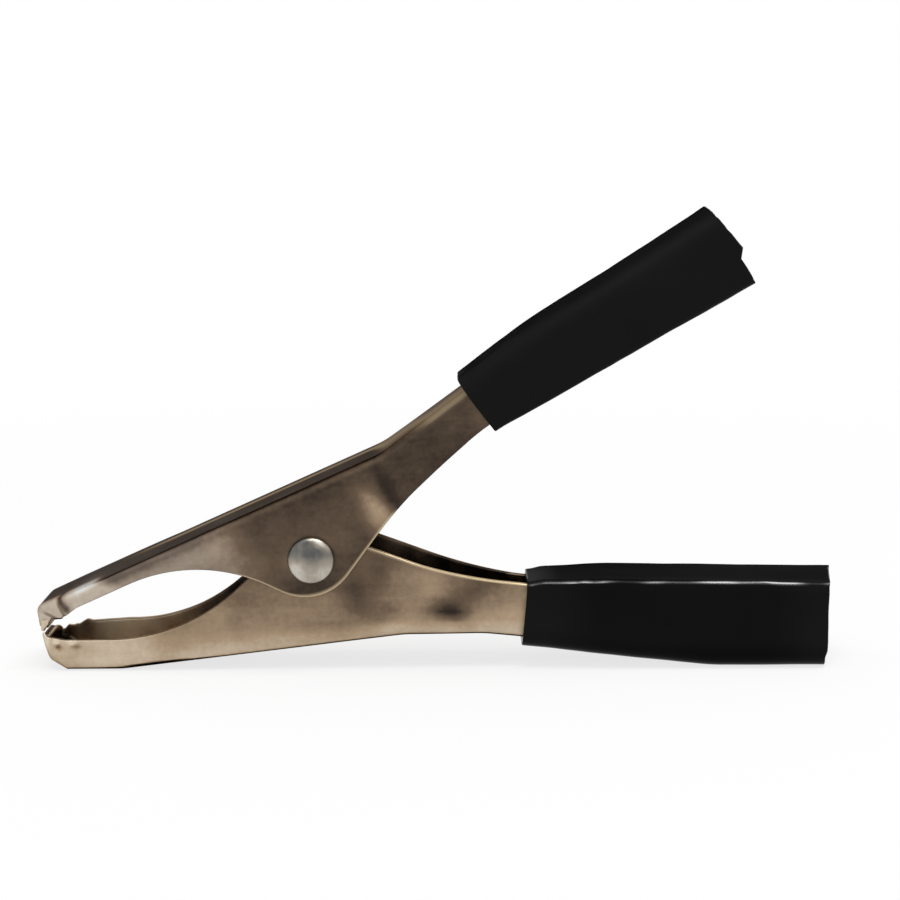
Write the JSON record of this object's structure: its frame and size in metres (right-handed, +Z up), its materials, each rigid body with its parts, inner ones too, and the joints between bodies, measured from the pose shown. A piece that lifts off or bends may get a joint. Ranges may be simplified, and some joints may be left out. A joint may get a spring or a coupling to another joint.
{
  "type": "battery clip",
  "caption": "Spring clip for battery posts and lugs: two pressed channel jaws turn on a rivet, with a coil spring and soft handle sleeves.",
  "frame": {"origin": "bottom centre of the object's box: under its middle, on the surface that it stands on", "axes": "+Z up, +X from the jaws' lips to the handles, +Y across, along the rivet's axis"},
  "size_m": [0.1016, 0.0144, 0.0575],
  "materials": {
    "plated_sheet": "nickel plated, rolled, warm grey",
    "rivet_metal": "scuffed, satin",
    "spring_wire": "drawn wire, satin",
    "screw_metal": "zinc plated",
    "gloss_vinyl": "dipped vinyl, glossy black",
    "matte_vinyl": "drawn vinyl sleeve, matte black"
  },
  "bodies": {
    "lower": {"lower_jaw": "plated_sheet", "pivot_rivet": "rivet_metal", "torsion_spring": "spring_wire", "lower_sleeve": "gloss_vinyl", "cable_screw": "screw_metal"},
    "upper": {"upper_jaw": "plated_sheet", "upper_sleeve": "matte_vinyl"}
  },
  "joints": [
    {"name": "jaw_hinge", "type": "hinge", "parent": "lower", "child": "upper", "pos_m": [-0.01588, 0, 0.01435], "axis": [0, 1, 0], "range_deg": [0, 30], "stiffness_Nm_per_rad": 0.6, "springref_deg": -40.11, "deforming": ["torsion_spring"]}
  ]
}
